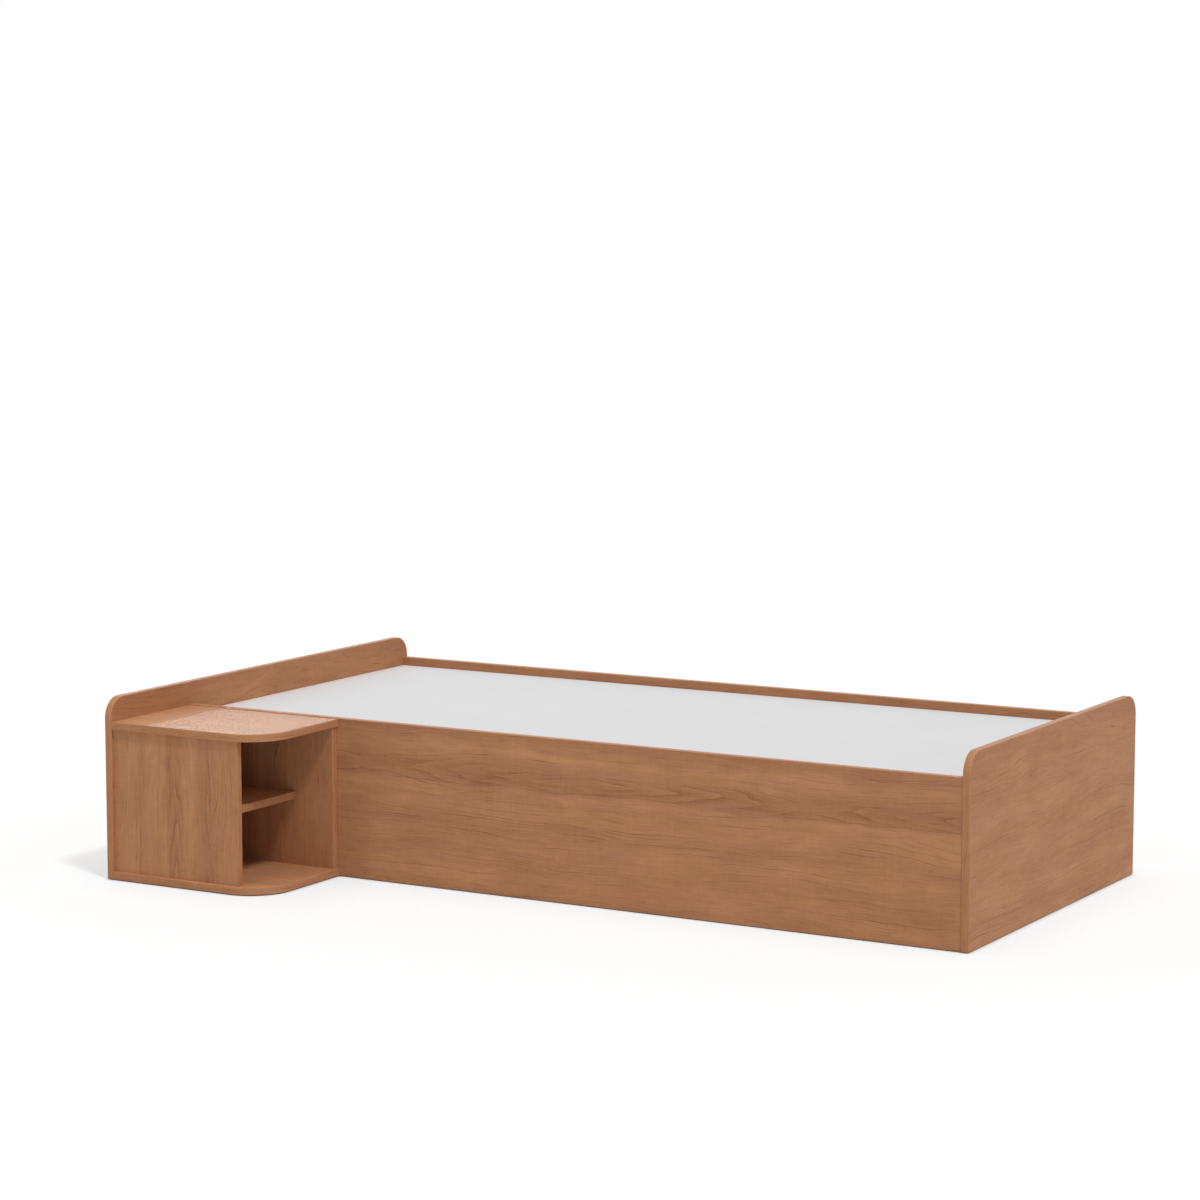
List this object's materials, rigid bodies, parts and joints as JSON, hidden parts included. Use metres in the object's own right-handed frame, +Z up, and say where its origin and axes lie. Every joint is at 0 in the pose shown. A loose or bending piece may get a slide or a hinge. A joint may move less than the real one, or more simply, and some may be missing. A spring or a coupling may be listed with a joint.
{
  "type": "box bed with bedside cabinet",
  "caption": "Fixed single box bed of wood-look boards with round-cornered end panels, a recessed white mattress base and a low bedside cabinet with an open niche built onto its head end.",
  "frame": {"origin": "on the floor, under the middle of the whole outline of bed and cabinet", "axes": "+X to the foot end, -Y to the cabinet side, +Z up"},
  "size_m": [2.04, 1.245, 0.427],
  "materials": {
    "melamine_board": "cherry woodgrain melamine on chipboard, satin",
    "abs_edging": "woodgrain ABS edging with rounded arrises, satin",
    "white_melamine": "white melamine on chipboard, fine pearl",
    "pine": "planed, unfinished",
    "beech": "turned, unfinished",
    "zinc": "bright zinc plated",
    "clear_plastic": "moulded, translucent",
    "black_plastic": "moulded, matt"
  },
  "bodies": {
    "bed_frame": {"headboard": "melamine_board", "headboard_edging": "abs_edging", "footboard": "melamine_board", "footboard_edging": "abs_edging", "front_rail": "melamine_board", "front_rail_edging": "abs_edging", "rear_rail": "melamine_board", "rear_rail_edging": "abs_edging", "front_batten": "pine", "rear_batten": "pine", "head_batten": "pine", "foot_batten": "pine", "batten_screws": "zinc", "cross_panel_1": "melamine_board", "cross_panel_2": "melamine_board", "cross_panel_cams": "zinc", "cross_panel_bolts": "zinc", "rail_cams": "zinc", "rail_cam_bolts": "zinc", "rail_dowels": "beech", "floor_glides": "black_plastic", "cabinet_top": "melamine_board", "cabinet_top_edging": "abs_edging", "cabinet_bottom": "melamine_board", "cabinet_bottom_edging": "abs_edging", "cabinet_front": "melamine_board", "cabinet_front_edging": "abs_edging", "cabinet_back": "melamine_board", "cabinet_back_edging": "abs_edging", "cabinet_cams": "zinc", "cabinet_cam_bolts": "zinc", "cabinet_dowels": "beech", "cabinet_screws": "zinc", "shelf_pins": "clear_plastic"},
    "lift_out_base": {"mattress_base": "white_melamine"},
    "loose_shelf": {"cabinet_shelf": "melamine_board", "cabinet_shelf_edging": "abs_edging"}
  },
  "joints": [
    {"name": "base_lift", "type": "slide", "parent": "bed_frame", "child": "lift_out_base", "axis": [0, 0, 1], "range_m": [0, 0.13]},
    {"name": "shelf_slide", "type": "slide", "parent": "bed_frame", "child": "loose_shelf", "axis": [1, 0, 0], "range_m": [0, 0.44]}
  ]
}
